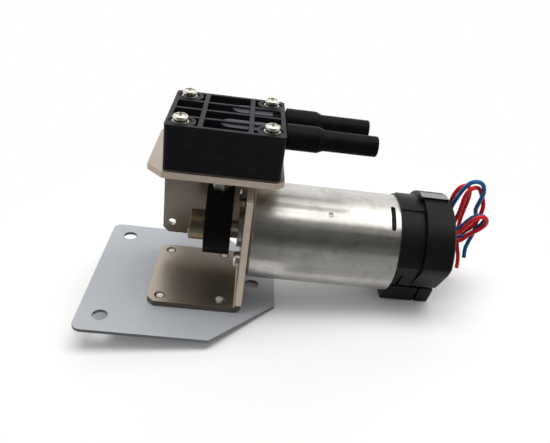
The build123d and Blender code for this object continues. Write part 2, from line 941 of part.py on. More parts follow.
# ---- rod ----------------------------------------------------------------------------------
def connecting_rod():
    ring = Pos(0, crank_z) * Circle(rod_ring_radius)
    shoulder = rod_ring_radius * rod_shoulder_share
    shoulder_z = crank_z + rod_ring_radius * rod_shoulder_rise
    stem = polygon(
        [
            (-shoulder, shoulder_z),
            (-rod_top_half, rod_top),
            (rod_top_half, rod_top),
            (shoulder, shoulder_z),
        ]
    )
    body = Pos(rod_left, 0, 0) * extrude(Plane.YZ * (ring + stem), rod_thickness)
    bearing_left = rod_middle - rod_bearing_width / 2
    body -= along_x(rod_lip_radius, rod_left - past, rod_right + past, 0, crank_z)
    body -= along_x(rod_bearing_radius + seat_gap, bearing_left, rod_right + past, 0, crank_z)
    hole = along_z(m3_radius + thread_gap, rod_top - rod_thread_depth, rod_top + past, rod_middle)
    return body - hole


def rod_bearing():
    x0 = rod_middle - rod_bearing_width / 2
    x1 = x0 + rod_bearing_width
    ring = along_x(rod_bearing_radius, x0, x1, 0, crank_z)
    ring -= along_x(rod_bearing_bore, x0 - past, x1 + past, 0, crank_z)
    for edge in (x0, x1):
        groove = along_x(
            rod_bearing_radius - bearing_rim, edge - bearing_groove, edge + bearing_groove, 0, crank_z
        )
        ring -= groove - along_x(
            rod_bearing_bore + bearing_rim, edge - past, edge + past, 0, crank_z
        )
    return ring


def retainer_top():
    return pad_bottom - soft_gap


def rod_stud():
    """Steel stud: hexagon on the rod, shank and the lower disc that backs the diaphragm."""
    top = retainer_top()
    hexagon = extrude(RegularPolygon(stud_hex_radius, 6), stud_hex_height)
    stud = Pos(rod_middle, 0, rod_top) * Rot(0, 0, stud_hex_turn) * hexagon
    stud += along_z(stud_radius, rod_top, top, rod_middle)
    stud += along_z(retainer_radius, top - retainer_thickness, top, rod_middle)
    stud += along_z(m3_radius, rod_top - stud_thread_length, rod_top, rod_middle)
    return stud - along_z(m3_radius + thread_gap, top - clamp_screw_length, top + past, rod_middle)


def clamp_bottom():
    return pad_top + soft_gap


def clamp_disc():
    z0 = clamp_bottom()
    disc = along_z(clamp_disc_radius, z0, z0 + clamp_disc_thickness, rod_middle)
    disc += along_z(m3_radius + spacer_wall, retainer_top(), z0 + join, rod_middle)
    return disc - clamp_screw(thread_gap)


def clamp_screw(gap=0.0):
    """Countersunk screw through the clamp disc into the stud."""
    top = clamp_bottom() + clamp_disc_thickness
    head, shank = m3_radius + clamp_screw_cone + gap, m3_radius + gap
    end = top - clamp_screw_length
    cone = top - clamp_screw_cone
    return turned([(0, end), (shank, end), (shank, cone), (head, top), (0, top)], rod_middle)


# ---- head ---------------------------------------------------------------------------------
def head_block(z0, z1):
    plan = RectangleRounded(head_length, head_width, head_corner)
    return Pos(head_centre_x, 0, z0) * extrude(plan, z1 - z0)


def head_screw_holes(z0, z1):
    holes = Part()
    for x, y in head_screw_places():
        holes += along_z(m3_radius + clear_gap, z0, z1, x, y)
    return holes


def diaphragm_housing():
    body = head_block(deck_top, housing_bottom)
    body -= along_z(chamber_radius, deck_top - past, housing_bottom, head_centre_x)
    body -= along_z(diaphragm_radius + seat_gap, ledge_z, housing_bottom + past, head_centre_x)
    return body - head_screw_holes(deck_top - past, housing_bottom + past)


def diaphragm():
    """Rubber diaphragm: clamped rim, one fold and the centre pad, at the bottom of its stroke."""
    pad_hole = m3_radius + spacer_wall + pad_hole_gap
    rim_top = ledge_z + diaphragm_rim
    pad_edge = clamp_disc_radius - pad_edge_inset
    rim_edge = chamber_radius - rim_edge_inset
    fold_middle = (pad_edge + rim_edge) / 2
    low = pad_bottom - diaphragm_sag
    t = diaphragm_fold
    return turned(
        [
            (pad_hole, pad_bottom),
            (pad_edge, pad_bottom),
            (fold_middle, low),
            (rim_edge, ledge_z),
            (diaphragm_radius, ledge_z),
            (diaphragm_radius, rim_top),
            (rim_edge + pad_edge_inset, rim_top),
            (rim_edge - rim_edge_inset, ledge_z + t),
            (fold_middle, low + t),
            (pad_edge, pad_top),
            (pad_hole, pad_top),
        ],
        head_centre_x,
    )


def valve_place(n):
    """Front exhaust valve (0) and rear intake valve (1), below their port channels."""
    x = head_centre_x + port_ridge_starts[n] + port_ridge_width / 2
    return x, (-port_y, port_y)[n]


def valve_plate():
    rim_top = ledge_z + diaphragm_rim
    roof = deck_top + chamber_roof
    plate = along_z(diaphragm_radius, rim_top, housing_bottom, head_centre_x)
    plate -= along_z(chamber_radius + join, rim_top - past, roof, head_centre_x)
    depth = valve_disc + valve_lift
    front_x, front_y = valve_place(0)
    rear_x, rear_y = valve_place(1)
    plate -= along_z(
        valve_pocket_radius, housing_bottom - depth, housing_bottom + past, front_x, front_y
    )
    plate -= along_z(valve_pocket_radius, roof - past, roof + depth, rear_x, rear_y)
    for x, y in (valve_place(0), valve_place(1)):
        plate -= along_z(valve_stem_radius, roof - 2 * past, housing_bottom + past, x, y)
        for n in range(valve_ports):
            angle = radians(n * 360 / valve_ports)
            px = x + valve_port_circle * cos(angle)
            py = y + valve_port_circle * sin(angle)
            plate -= along_z(valve_port_radius, roof - 2 * past, housing_bottom + past, px, py)
    return plate


def umbrella(x, y, seat, direction, reach):
    """Umbrella valve: a disc on the seat, its stem through the plate."""
    far = seat + direction * valve_disc
    disc = along_z(valve_disc_radius, *sorted((seat, far)), x, y)
    rim = disc.edges().filter_by(GeomType.CIRCLE).sort_by(Axis.Z)[-1 if direction > 0 else 0]
    disc = chamfer(rim, valve_rim)
    return disc + along_z(valve_stem_radius, *sorted((seat, seat - direction * reach)), x, y)


def exhaust_valve():
    seat = housing_bottom - valve_disc - valve_lift
    reach = seat - deck_top - chamber_roof
    return umbrella(*valve_place(0), seat, 1, reach)


def intake_valve():
    seat = deck_top + chamber_roof + valve_disc + valve_lift
    reach = housing_bottom - seat
    return umbrella(*valve_place(1), seat, -1, reach)


def head_gasket():
    gasket = head_block(housing_bottom, cover_bottom)
    for x, y in (valve_place(0), valve_place(1)):
        gasket -= along_z(valve_pocket_radius, housing_bottom - past, cover_bottom + past, x, y)
    return gasket - head_screw_holes(housing_bottom - past, cover_bottom + past)


def head_cover():
    """Ribbed top moulding with the two port channels and their barbed spouts."""
    body = head_block(cover_bottom, head_top)
    floor = cover_bottom + cover_floor
    pocket_plan = RectangleRounded(
        head_length - 2 * rim_wall, head_width - 2 * rim_wall, pocket_corner
    )
    body -= Pos(head_centre_x, 0, floor) * extrude(pocket_plan, head_height)
    body += cover_ribs(floor) + port_ridges(floor)
    for x, y in head_screw_places():
        body += along_z(screw_boss_radius, floor, head_top, x, y) & head_block(floor, head_top)
        body -= along_z(screw_seat_radius, screw_seat, head_top + past, x, y)
    for n in (0, 1):
        body += spout(n)
        body -= port_bore(n)
    return body - head_screw_holes(cover_bottom - past, head_top + past)


def cover_ribs(floor):
    ribs = Part()
    half_x, half_y = (head_length - rim_wall) / 2, (head_width - rim_wall) / 2
    low = floor - join
    for x in cross_rib_xs:
        x0 = head_centre_x + x - cross_rib_width / 2
        ribs += block(x0, x0 + cross_rib_width, -half_y, half_y, low, head_top)
    for y in long_rib_ys:
        x0 = head_centre_x - half_x
        y0 = y - long_rib_width / 2
        ribs += block(
            x0, x0 + 2 * half_x, y0, y0 + long_rib_width, low, head_top - long_rib_drop
        )
    return ribs


def port_ridges(floor):
    ridges = Part()
    top = head_top - port_ridge_below_rim
    half = port_ridge_width / 2
    for n in (0, 1):
        x, y = valve_place(n)
        x1 = head_right - (join, rear_ridge_end)[n]
        ridge = along_z(half, floor - join, top, x, y)
        ridge += block(x, x1, y - half, y + half, floor - join, top)
        bar = port_bar_width / 2
        bar_top = hose_z + port_bar_top
        ridge += block(x, head_right - join, y - bar, y + bar, floor - join, bar_top)
        ridges += ridge
    return ridges


def spout(n):
    """Hose spout with barbs that taper towards its tip."""
    y = valve_place(n)[1]
    end = head_right + spout_length
    points = [(head_right - past, 0), (head_right - past, spout_radius)]
    pitch = spout_length / (barb_count + 1)
    for k in range(barb_count):
        x = end - (barb_count - k) * pitch
        points += [(x, spout_radius), (x, barb_radius), (x + pitch * barb_share, spout_radius)]
    points += [(end, spout_radius), (end, 0)]
    return turned_x(points, y, hose_z)


def port_bore(n):
    x, y = valve_place(n)
    bore = along_x(port_bore_radius, x, head_right + spout_length + past, y, hose_z)
    return bore + along_z(port_bore_radius, cover_bottom - past, hose_z, x, y)


def head_screw(x, y):
    """Pan head screw; its head's outline follows the dome's shares of radius and height."""
    top = screw_head_base + m3_head_height
    end = deck_height + head_screw_sink
    dome = [
        (m3_head_radius * across, screw_head_base + m3_head_height * up)
        for across, up in m3_head_dome
    ]
    outline = [(0, end), (m3_radius, end), (m3_radius, screw_head_base)]
    outline += [(m3_head_radius, screw_head_base), *dome, (0, top)]
    return turned(outline, x, y) - cross_recess(x, y, top)


def head_screws():
    return [head_screw(x, y) for x, y in head_screw_places()]


def washer(radius, bottom, thickness, x, y):
    ring = along_z(radius, bottom, bottom + thickness, x, y)
    bore = m3_radius + washer_bore_gap
    return ring - along_z(bore, bottom - past, bottom + thickness + past, x, y)


def flat_washers():
    return [
        washer(flat_washer_radius, screw_seat, flat_washer_thickness, x, y)
        for x, y in head_screw_places()
    ]


def spring_washers():
    """Split washers under the screw heads, each with its slit towards the front."""
    bottom = screw_seat + flat_washer_thickness
    washers = []
    for x, y in head_screw_places():
        ring = washer(spring_washer_radius, bottom, spring_washer_thickness, x, y)
        slit = Box(spring_washer_slit, 2 * spring_washer_radius, 3 * spring_washer_thickness)
        washers.append(ring - Pos(x, y - spring_washer_radius, bottom) * slit)
    return washers


def hose(n):
    """Short stiff hose, stretched over the barbs at its head end."""
    x0 = head_right + hose_start_gap
    x1 = x0 + hose_lengths[n]
    bulge_end = head_right + spout_length - hose_edge
    taper_end = bulge_end + hose_taper
    over = barb_radius + seat_gap
    y = valve_place(n)[1]
    tube = turned_x(
        [
            (x0, over),
            (x0, hose_bulge_radius - hose_edge),
            (x0 + hose_edge, hose_bulge_radius),
            (bulge_end, hose_bulge_radius),
            (taper_end, hose_radius),
            (x1 - hose_edge, hose_radius),
            (x1, hose_radius - hose_edge),
            (x1, hose_bore_radius),
            (taper_end, hose_bore_radius),
            (taper_end - hose_taper / 2, over),
        ],
        y,
        hose_z,
    )
    return tube


# ---- leads --------------------------------------------------------------------------------
# Routes of the two motor leads as (x, y, z above the motor axis): out of the grommet, round a
# small loop, over a tall one (the red lead over two) and down to their free ends.
lead_routes = {
    "lead_red": [
        (79.0, -1.1, 6.0), (89.5, -1.1, 6.0), (94.0, -1.5, 9.5), (95.5, -2.2, 14.0),
        (98.0, -3.1, 18.4), (102.3, -2.4, 19.0), (104.7, -0.9, 14.8), (103.1, 0.9, 10.5),
        (100.1, 2.6, 6.7), (97.9, 3.3, 2.5), (94.5, 4.0, 1.5), (92.5, 5.0, 5.0), (92.5, 4.5, 10.0),
        (92.5, 2.5, 16.0), (92.0, 1.0, 21.5), (91.5, 0.0, 27.0), (93.0, -0.9, 31.0),
        (96.4, 0.2, 30.9), (99.0, 1.8, 27.4), (101.5, 1.7, 23.0), (102.1, 2.1, 18.1),
        (102.0, 3.6, 12.4), (101.1, 6.6, 7.0), (98.4, 8.5, 2.8), (94.6, 9.6, 3.0),
        (91.8, 10.0, 6.6), (90.8, 9.6, 12.4), (90.0, 8.8, 18.0), (89.9, 7.6, 23.2),
        (91.2, 6.6, 27.6), (94.6, 6.9, 28.6), (97.0, 8.2, 24.8), (97.8, 9.6, 19.2),
        (97.9, 10.8, 13.4), (97.9, 11.0, 7.6), (98.5, 10.7, 1.8), (99.6, 9.0, -3.6),
        (101.2, 7.0, -8.6), (101.6, 6.2, -13.8),
    ],
    "lead_blue": [
        (79.0, 1.1, 6.0), (89.5, 1.1, 6.0), (94.5, 1.0, 10.5), (97.0, -0.1, 16.3),
        (100.2, -0.7, 18.6), (104.1, 0.7, 17.0), (104.8, 3.2, 13.0), (102.6, 3.7, 8.2),
        (99.6, 5.1, 3.9), (95.5, 6.5, 2.5), (92.0, 7.5, 6.0), (90.5, 7.0, 11.5), (89.5, 5.5, 17.0),
        (89.5, 3.0, 23.0), (90.5, 1.5, 29.0), (92.5, 0.0, 33.5), (96.5, -1.1, 34.0),
        (98.6, -1.2, 30.1), (98.5, -0.1, 24.5), (99.2, 3.1, 18.8), (102.8, 6.1, 13.5),
        (104.0, 6.2, 7.8), (102.5, 5.2, 2.6), (100.9, 3.7, -1.8), (101.5, 2.4, -5.5),
    ],
}


def corner_radii(points):
    """The largest arc that each corner's two runs leave room for."""
    radii = []
    for before, corner, after in zip(points, points[1:], points[2:]):
        into, out = corner - before, after - corner
        half_turn = radians(into.get_angle(out)) / 2
        radii.append(corner_share * min(into.length, out.length) / tan(half_turn))
    return radii


def lead(name):
    points = [Vector(x, y, axis_height + z) for x, y, z in lead_routes[name]]
    radii = corner_radii(points)
    path = FilletPolyline(*points, radius=radii)
    start = Plane(origin=points[0], z_dir=points[1] - points[0])
    tube = sweep(start * Circle(lead_radius), path)
    print(name, "radii", [round(r, 1) for r in radii], "length", round(path.length, 1))
    section = pi * lead_radius**2
    print(name, "volume over section times length", round(tube.volume / (path.length * section), 4))
    return tube


# ---- write --------------------------------------------------------------------------------
def write(name, shape):
    if isinstance(shape, list):
        shape = Compound(children=shape)
    export_step(shape, f"parts/{name}.step")


def main():
    os.makedirs("parts", exist_ok=True)
    makers = [
        base_plate, foot_screws, bracket, bracket_top,
        motor_can, motor_screws, magnets, front_bearing, rear_bearing, brush_housing,
        brushes, brush_springs, terminals, rear_cover, lead_grommet,
        motor_shaft, armature_core, windings, commutator, eccentric_hub, retaining_ring, set_screw,
        connecting_rod, rod_bearing, rod_stud, clamp_disc, clamp_screw,
        diaphragm_housing, diaphragm, valve_plate, exhaust_valve, intake_valve, head_gasket,
        head_cover, head_screws, flat_washers, spring_washers,
    ]
    for make in makers:
        write(make.__name__, make())
    for n, name in enumerate(("hose_front", "hose_rear")):
        write(name, hose(n))
    for name in lead_routes:
        write(name, lead(name))


main()
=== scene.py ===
import json
from math import cos, radians

import bmesh
import bpy
from mathutils import Matrix, Vector


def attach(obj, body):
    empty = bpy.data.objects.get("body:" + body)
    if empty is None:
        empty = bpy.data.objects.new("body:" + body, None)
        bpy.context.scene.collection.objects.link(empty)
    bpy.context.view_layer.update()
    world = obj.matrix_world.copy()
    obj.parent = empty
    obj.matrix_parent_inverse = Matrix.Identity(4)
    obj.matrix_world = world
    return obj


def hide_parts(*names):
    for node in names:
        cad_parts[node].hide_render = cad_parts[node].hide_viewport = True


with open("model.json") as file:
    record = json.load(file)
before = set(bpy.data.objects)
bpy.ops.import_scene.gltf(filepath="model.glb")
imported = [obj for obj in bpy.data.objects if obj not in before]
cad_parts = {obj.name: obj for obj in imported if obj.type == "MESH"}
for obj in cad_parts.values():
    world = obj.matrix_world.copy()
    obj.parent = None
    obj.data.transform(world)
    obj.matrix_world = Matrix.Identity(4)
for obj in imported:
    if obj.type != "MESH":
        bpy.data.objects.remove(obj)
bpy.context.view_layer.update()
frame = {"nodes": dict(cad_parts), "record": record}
nodes = frame["nodes"]

# Places and sizes are in millimetres in the row frame, unless a comment says otherwise.
MM = 0.001


def mm(*values):
    return Vector(values) * MM


# ---- camera at the photograph's angle -----------------------------------------------------
IMAGE_WIDTH = 550
FOCAL_PIXELS = 569.43
SENSOR = 36.0
CLIP_METRES = (0.01, 20.0)
CAMERA_PLACE = (-4.69, -211.48, 159.37)
CAMERA_RIGHT = Vector((0.99178, -0.01112, 0.12745))
CAMERA_UP = Vector((-0.10419, 0.50798, 0.85505))

camera = bpy.data.objects.new("camera", bpy.data.cameras.new("camera"))
bpy.context.scene.collection.objects.link(camera)
camera.data.sensor_width = SENSOR
camera.data.lens = FOCAL_PIXELS * SENSOR / IMAGE_WIDTH
camera.data.clip_start, camera.data.clip_end = CLIP_METRES
axes = Matrix((CAMERA_RIGHT, CAMERA_UP, CAMERA_RIGHT.cross(CAMERA_UP)))
camera.matrix_world = Matrix.Translation(mm(*CAMERA_PLACE)) @ axes.transposed().to_4x4()
bpy.context.scene.camera = camera

# ---- materials ----------------------------------------------------------------------------
# The colour sockets of a Mix node, which share their names with its other sockets.
MIX_FACTOR, MIX_FIRST, MIX_SECOND = 0, 6, 7
MIX_RESULT = 2
DUST = (0.20, 0.20, 0.21)


class Finish:
    """A material under construction: its Principled shader and helpers that add nodes to it."""

    def __init__(self, name, colour, metallic=0.0, roughness=0.5, **sockets):
        self.material = bpy.data.materials.new(name)
        self.material.use_nodes = True
        self.tree = self.material.node_tree
        self.shader = self.tree.nodes["Principled BSDF"]
        self.put(self.shader, "Base Color", (*colour, 1.0))
        self.put(self.shader, "Metallic", metallic)
        self.put(self.shader, "Roughness", roughness)
        for socket, value in sockets.items():
            self.put(self.shader, socket.replace("_", " "), value)
        self.place = self.add("ShaderNodeTexCoord").outputs["Object"]

    def put(self, node, socket, value):
        """Links the value to the socket if it is another node's output, or else stores it."""
        if isinstance(value, bpy.types.NodeSocket):
            self.tree.links.new(value, node.inputs[socket])
        else:
            node.inputs[socket].default_value = value

    def add(self, kind, sockets=None, **settings):
        """A new node with its settings and the values of its sockets."""
        node = self.tree.nodes.new(kind)
        for name, value in settings.items():
            setattr(node, name, value)
        for name, value in (sockets or {}).items():
            self.put(node, name, value)
        return node

    def stretched(self, x, y, z):
        """The row frame's coordinates scaled along each axis, to draw a texture out."""
        mapping = self.add("ShaderNodeMapping", {"Vector": self.place, "Scale": (x, y, z)})
        return mapping.outputs["Vector"]

    def noise(self, scale, detail=3.0, place=None, distortion=0.0, roughness=0.5):
        """Noise from 0 to 1. Its scale is in waves per metre."""
        node = self.add(
            "ShaderNodeTexNoise",
            {
                "Vector": place or self.place,
                "Scale": scale,
                "Detail": detail,
                "Roughness": roughness,
                "Distortion": distortion,
            },
        )
        return node.outputs["Fac"]

    def ramp(self, value, low, high, start=0.0, end=1.0):
        """The value's stretch from start to end spread over low to high."""
        node = self.add(
            "ShaderNodeMapRange",
            {"Value": value, "From Min": start, "From Max": end, "To Min": low, "To Max": high},
        )
        return node.outputs["Result"]

    def tint(self, factor, other):
        """Blends another colour over what the base colour is so far."""
        base = self.shader.inputs["Base Color"]
        now = base.links[0].from_socket if base.is_linked else tuple(base.default_value)
        sockets = {MIX_FACTOR: factor, MIX_FIRST: now, MIX_SECOND: (*other, 1.0)}
        mix = self.add("ShaderNodeMix", data_type="RGBA")
        for socket, value in sockets.items():
            self.put(mix, socket, value)
        self.put(self.shader, "Base Color", mix.outputs[MIX_RESULT])

    def rough(self, value):
        self.put(self.shader, "Roughness", value)

    def bump(self, height, distance, strength=1.0):
        """Adds a relief of so many metres on top of the relief so far."""
        sockets = {"Height": height, "Distance": distance, "Strength": strength}
        socket = self.shader.inputs["Normal"]
        if socket.is_linked:
            sockets["Normal"] = socket.links[0].from_socket
        self.put(self.shader, "Normal", self.add("ShaderNodeBump", sockets).outputs["Normal"])


def plated_sheet(name, colour, dark, metallic, rough_low, rough_high, grain, specks=0.4):
    """Plated or painted sheet: fine grain, cloudy tone, mottle and a few darker specks."""
    finish = Finish(name, colour, metallic=metallic)
    cloud = finish.noise(38.0, 4.0)
    fine = finish.noise(grain, 3.0)
    speck = finish.noise(900.0, 2.0)
    mottle = finish.noise(1900.0, 4.0)
    finish.tint(finish.ramp(cloud, 0.0, 0.55, 0.35, 0.75), dark)
    finish.tint(finish.ramp(speck, 0.0, specks, 0.68, 0.8), dark)
    finish.tint(finish.ramp(mottle, 0.0, 0.8, 0.42, 0.66), dark)
    finish.rough(finish.ramp(fine, rough_low, rough_high, 0.3, 0.7))
    finish.bump(fine, 0.000004, 0.15)
    return finish.material


def brushed(
    name, colour, dark, stretch, rough_low, rough_high, cloudy=0.4, bump=0.00001, smudges=0.0
):
    """Bright metal with fine streaks along one axis, a cloudy tone and small smudges."""
    finish = Finish(name, colour, metallic=1.0)
    streaks = finish.noise(1.0, 4.0, finish.stretched(*stretch))
    cloud = finish.noise(70.0, 3.0, distortion=0.6)
    finish.tint(finish.ramp(cloud, 0.0, cloudy, 0.4, 0.8), dark)
    finish.tint(finish.ramp(streaks, 0.0, 0.35, 0.45, 0.75), dark)
    if smudges:
        smudge = finish.noise(110.0, 5.0, distortion=1.2, roughness=0.65)
        finish.tint(finish.ramp(smudge, 0.0, smudges, 0.48, 0.7), dark)
    finish.rough(finish.ramp(streaks, rough_low, rough_high, 0.3, 0.7))
    finish.bump(streaks, bump, 0.5)
    return finish.material


def moulded(
    name, colour, rough_low, rough_high, grain=2600.0, depth=0.00001, dust=0.02, gloss=0.4
):
    """Moulded plastic: a fine eroded grain, uneven gloss and a trace of dust."""
    finish = Finish(name, colour, Specular_IOR_Level=gloss)
    fine = finish.noise(grain, 2.0)
    patches = finish.noise(120.0, 3.0)
    specks = finish.noise(420.0, 5.0)
    finish.tint(finish.ramp(specks, 0.0, dust, 0.5, 0.8), DUST)
    finish.rough(finish.ramp(patches, rough_low, rough_high, 0.3, 0.7))
    finish.bump(fine, depth, 0.5)
    return finish.material


def rubbery(name, colour, rough, ribbing=0.0, gloss=0.3):
    """Extruded rubber: faint lines along its length and soft pits."""
    finish = Finish(name, colour, roughness=rough, Specular_IOR_Level=gloss)
    lines = finish.noise(1.0, 3.0, finish.stretched(30.0, 1800.0, 1800.0))
    pits = finish.noise(1500.0, 3.0)
    specks = finish.noise(260.0, 4.0)
    finish.tint(finish.ramp(specks, 0.0, 0.02, 0.45, 0.8), DUST)
    finish.rough(finish.ramp(lines, rough - 0.06, rough + 0.08, 0.3, 0.7))
    finish.bump(pits, 0.00001, 0.4)
    if ribbing:
        finish.bump(lines, ribbing, 0.5)
    return finish.material


def insulated(name, colour, deep):
    """Coloured lead insulation, glossy, with a slightly uneven surface."""
    finish = Finish(name, colour, roughness=0.3, Specular_IOR_Level=0.25)
    finish.tint(finish.ramp(finish.noise(500.0, 3.0), 0.0, 0.6, 0.35, 0.75), deep)
    finish.rough(finish.ramp(finish.noise(900.0, 2.0), 0.24, 0.4, 0.3, 0.7))
    finish.bump(finish.noise(700.0, 2.0), 0.00002, 0.4)
    return finish.material


def wound_copper():
    """Enamelled wire: a close wave of turns across the coil."""
    finish = Finish("copper", (0.62, 0.28, 0.12), metallic=0.9, roughness=0.32)
    wave = finish.add(
        "ShaderNodeTexWave",
        {"Vector": finish.place, "Scale": 420.0, "Distortion": 1.5, "Detail": 1.0},
        bands_direction="DIAGONAL",
    ).outputs["Fac"]
    finish.tint(finish.ramp(wave, 0.0, 0.6), (0.25, 0.09, 0.04))
    finish.bump(wave, 0.0001, 0.7)
    return finish.material


def laminated():
    """Stacked core sheets, seen as thin lines round the core."""
    finish = Finish("lamination_steel", (0.33, 0.32, 0.31), metallic=1.0, roughness=0.45)
    wave = finish.add(
        "ShaderNodeTexWave",
        {"Vector": finish.place, "Scale": 320.0, "Distortion": 0.2},
        bands_direction="X",
    ).outputs["Fac"]
    finish.tint(finish.ramp(wave, 0.0, 0.7, 0.5, 1.0), (0.1, 0.1, 0.1))
    finish.bump(wave, 0.00004, 0.6)
    return finish.material


finishes = {
    "zinc_plate": plated_sheet(
        "zinc_plate", (0.41, 0.425, 0.45), (0.35, 0.37, 0.40), 0.1, 0.4, 0.5, 1400.0
    ),
    "nickel_plate": plated_sheet(
        "nickel_plate",
        (0.55, 0.475, 0.40),
        (0.43, 0.365, 0.30),
        0.95,
        0.29,
        0.36,
        1100.0,
        specks=0.06,
    ),
    "bright_steel": brushed(
        "bright_steel", (0.82, 0.79, 0.71), (0.55, 0.515, 0.43), (900.0, 900.0, 900.0), 0.3, 0.44
    ),
    "can_steel": brushed(
        "can_steel",
        (0.72, 0.70, 0.665),
        (0.42, 0.41, 0.38),
        (14.0, 420.0, 420.0),
        0.28,
        0.4,
        cloudy=0.5,
        smudges=0.6,
    ),
    "ferrite": moulded("ferrite", (0.05, 0.05, 0.055), 0.5, 0.65, grain=1200.0, depth=0.00003),
    "bearing_steel": brushed(
        "bearing_steel", (0.62, 0.62, 0.61), (0.40, 0.40, 0.40), (1500.0, 300.0, 300.0), 0.2, 0.32
    ),
    "cap_plastic": moulded(
        "cap_plastic", (0.006, 0.006, 0.0065), 0.38, 0.52, dust=0.012, gloss=0.17
    ),
    "carbon": moulded("carbon", (0.03, 0.03, 0.03), 0.45, 0.6, grain=1800.0),
    # Dark steel for the spring washers, partly painted shade: its darkness stands for the shade
    # and dark reflection under the screw heads.
    "spring_steel": brushed(
        "spring_steel", (0.24, 0.22, 0.17), (0.14, 0.125, 0.095), (500.0, 500.0, 900.0), 0.32, 0.46
    ),
    "brass": brushed(
        "brass", (0.75, 0.56, 0.26), (0.55, 0.38, 0.16), (60.0, 900.0, 900.0), 0.22, 0.36
    ),
    "black_rubber": rubbery("black_rubber", (0.006, 0.006, 0.007), 0.6, gloss=0.14),
    "hose_rubber": rubbery(
        "hose_rubber", (0.004, 0.004, 0.004), 0.45, ribbing=0.00002, gloss=0.08
    ),
    "red_insulation": insulated("red_insulation", (0.76, 0.014, 0.024), (0.44, 0.006, 0.013)),
    "blue_insulation": insulated("blue_insulation", (0.014, 0.13, 0.34), (0.006, 0.06, 0.19)),
    "lamination_steel": laminated(),
    "copper": wound_copper(),
    "hub_metal": brushed(
        "hub_metal", (0.46, 0.39, 0.27), (0.27, 0.225, 0.15), (1300.0, 260.0, 260.0), 0.3, 0.44
    ),
    "black_oxide": brushed(
        "black_oxide", (0.09, 0.09, 0.09), (0.04, 0.04, 0.04), (700.0, 700.0, 700.0), 0.3, 0.45
    ),
    "rod_plastic": moulded("rod_plastic", (0.004, 0.004, 0.004), 0.45, 0.6, dust=0.0, gloss=0.12),
    "head_plastic": moulded("head_plastic", (0.011, 0.011, 0.0145), 0.34, 0.48, gloss=0.14),
}

# Finishes for some faces of a node beside its main one.
# Paler plastic for the rear cover's rib top: a painted highlight from the light above.
rib_painted_highlight = moulded("rib_painted_highlight", (0.22, 0.22, 0.23), 0.35, 0.5)
# Paler plastic for the port channels' tops: a painted highlight from the light above.
ridge_painted_highlight = moulded("ridge_painted_highlight", (0.05, 0.047, 0.058), 0.34, 0.48, gloss=0.2)
sheared = plated_sheet(
    "sheared_edge", (0.70, 0.585, 0.48), (0.56, 0.465, 0.375), 0.2, 0.42, 0.54, 700.0, specks=0.1
)
# Darker nickel as painted shade: the shadow and dark reflections at the foot's front edge and
# screw-hole mouths.
nickel_painted_shade = plated_sheet(
    "nickel_painted_shade", (0.17, 0.145, 0.115), (0.10, 0.085, 0.065), 0.9, 0.32, 0.42, 1100.0, specks=0.06
)
# Darker zinc as painted shade on the base plate's front side.
zinc_painted_shade = plated_sheet(
    "zinc_painted_shade", (0.15, 0.155, 0.165), (0.10, 0.105, 0.11), 0.1, 0.4, 0.5, 1400.0
)
worn_steel = plated_sheet(
    "worn_steel", (0.80, 0.77, 0.70), (0.50, 0.47, 0.40), 0.3, 0.34, 0.46, 1100.0
)

slots = {part["node"]: part["material_slot"] for part in frame["record"]["subparts"]}
bodies = {}
for body, names in frame["record"]["behaviour"]["bodies"].items():
    bodies.update((node, body) for node in names)

# The foot screws are less polished than the head's screws, which have the same slot.
special = {"foot_screws": worn_steel}
for name, node in nodes.items():
    node.data.materials.clear()
    node.data.materials.append(special.get(name, finishes[slots[name]]))


# ---- pieces -------------------------------------------------------------------------------
# Points closer than this, in metres, are one. Faces within the flat angle are one face, and
# edges past the sharp angle are rounded.
WELD = 1e-6
FLAT = radians(0.4)
SHARP = radians(28)

# An edge is rounded only where the edges beside it, which leave it at more than about 45
# degrees, are this many times as long as the rounding is wide.
ASIDE = 0.7
ROOM = 2.2
ROUNDING_STEPS = 2

# Numbers of the materials that a paint gives to the faces of the bracket.
PLATED, SHEARED, PAINTED_SHADE = 0, 1, 2


def add_piece(name, mesh, node_names):
    """Puts a finished mesh in the scene in place of the CAD nodes that it stands for."""
    piece = bpy.data.objects.new(name, mesh)
    bpy.context.scene.collection.objects.link(piece)
    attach(piece, bodies[node_names[0]])
    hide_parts(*node_names)


def merge(bm):
    """Welds the points that lie together and makes each flat face whole."""
    bmesh.ops.remove_doubles(bm, verts=bm.verts, dist=WELD)
    bmesh.ops.dissolve_limit(bm, angle_limit=FLAT, verts=bm.verts, edges=bm.edges)
    bm.normal_update()


def clean_copy(node):
    """The node's solid as a bmesh with its flat faces whole."""
    bm = bmesh.new()
    bm.from_mesh(nodes[node].data)
    merge(bm)
    return bm


def has_room(edge, width):
    """Whether the edges that run away from this one are long enough for its rounding."""
    along = (edge.verts[1].co - edge.verts[0].co).normalized()
    for vertex in edge.verts:
        for other in vertex.link_edges:
            line = other.verts[1].co - other.verts[0].co
            away = abs(line.normalized().dot(along)) < ASIDE
            if other is not edge and away and line.length < ROOM * width * MM:
                return False
    return True


def round_edges(bm, width, keep=None):
    """Rounds the sharp edges that keep picks, so that they catch the light as real ones do."""
    sharp = [
        edge
        for edge in bm.edges
        if edge.is_manifold
        and edge.calc_face_angle(0.0) > SHARP
        and has_room(edge, width)
        and (keep is None or keep(edge))
    ]
    bmesh.ops.bevel(
        bm,
        geom=sharp,
        offset=width * MM,
        offset_type="OFFSET",
        segments=ROUNDING_STEPS,
        profile=0.5,
        affect="EDGES",
        clamp_overlap=False,
        material=-1,
    )


def join(bm, partner, seam):
    """Welds the partner's solid to this one and takes out the faces between them."""
    other = clean_copy(partner)
    spare = bpy.data.meshes.new(partner + "_spare")
    other.to_mesh(spare)
    other.free()
    bm.from_mesh(spare)
    bpy.data.meshes.remove(spare)
    inner = [face for face in bm.faces if seam(face)]
    bmesh.ops.delete(bm, geom=inner, context="FACES_ONLY")
    merge(bm)


